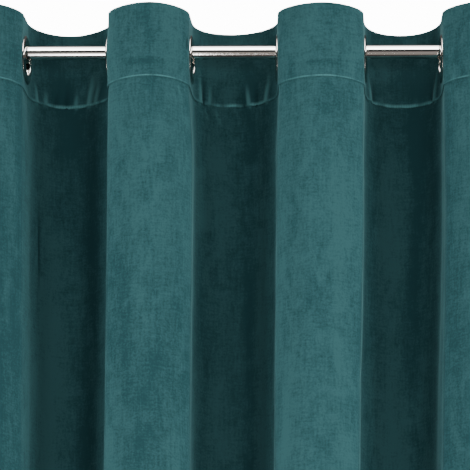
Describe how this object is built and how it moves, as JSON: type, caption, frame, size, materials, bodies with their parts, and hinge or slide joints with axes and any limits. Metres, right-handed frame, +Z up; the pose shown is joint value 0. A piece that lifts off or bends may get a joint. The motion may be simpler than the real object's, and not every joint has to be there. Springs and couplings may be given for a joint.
{
  "type": "eyelet curtain on a rod",
  "caption": "Full-length velvet eyelet curtain panel that winds in deep regular folds round a straight chromed rod.",
  "frame": {"origin": "centre of the rod's flat left end", "axes": "+X along the rod towards its right end, -Y the face side of the cloth, +Z up"},
  "size_m": [1.2, 0.1484, 2.4],
  "materials": {
    "panel_velvet": "teal velvet pile",
    "heading_velvet": "teal velvet pile, stiffened",
    "eyelet_metal": "bright nickel plate",
    "rod_metal": "bright chrome plate"
  },
  "bodies": {
    "root": {"heading": "heading_velvet", "panel": "panel_velvet", "eyelet_1": "eyelet_metal", "eyelet_2": "eyelet_metal", "eyelet_3": "eyelet_metal", "eyelet_4": "eyelet_metal", "eyelet_5": "eyelet_metal", "eyelet_6": "eyelet_metal", "eyelet_7": "eyelet_metal", "eyelet_8": "eyelet_metal", "washer_1": "eyelet_metal", "washer_2": "eyelet_metal", "washer_3": "eyelet_metal", "washer_4": "eyelet_metal", "washer_5": "eyelet_metal", "washer_6": "eyelet_metal", "washer_7": "eyelet_metal", "washer_8": "eyelet_metal", "rod": "rod_metal"}
  },
  "joints": []
}
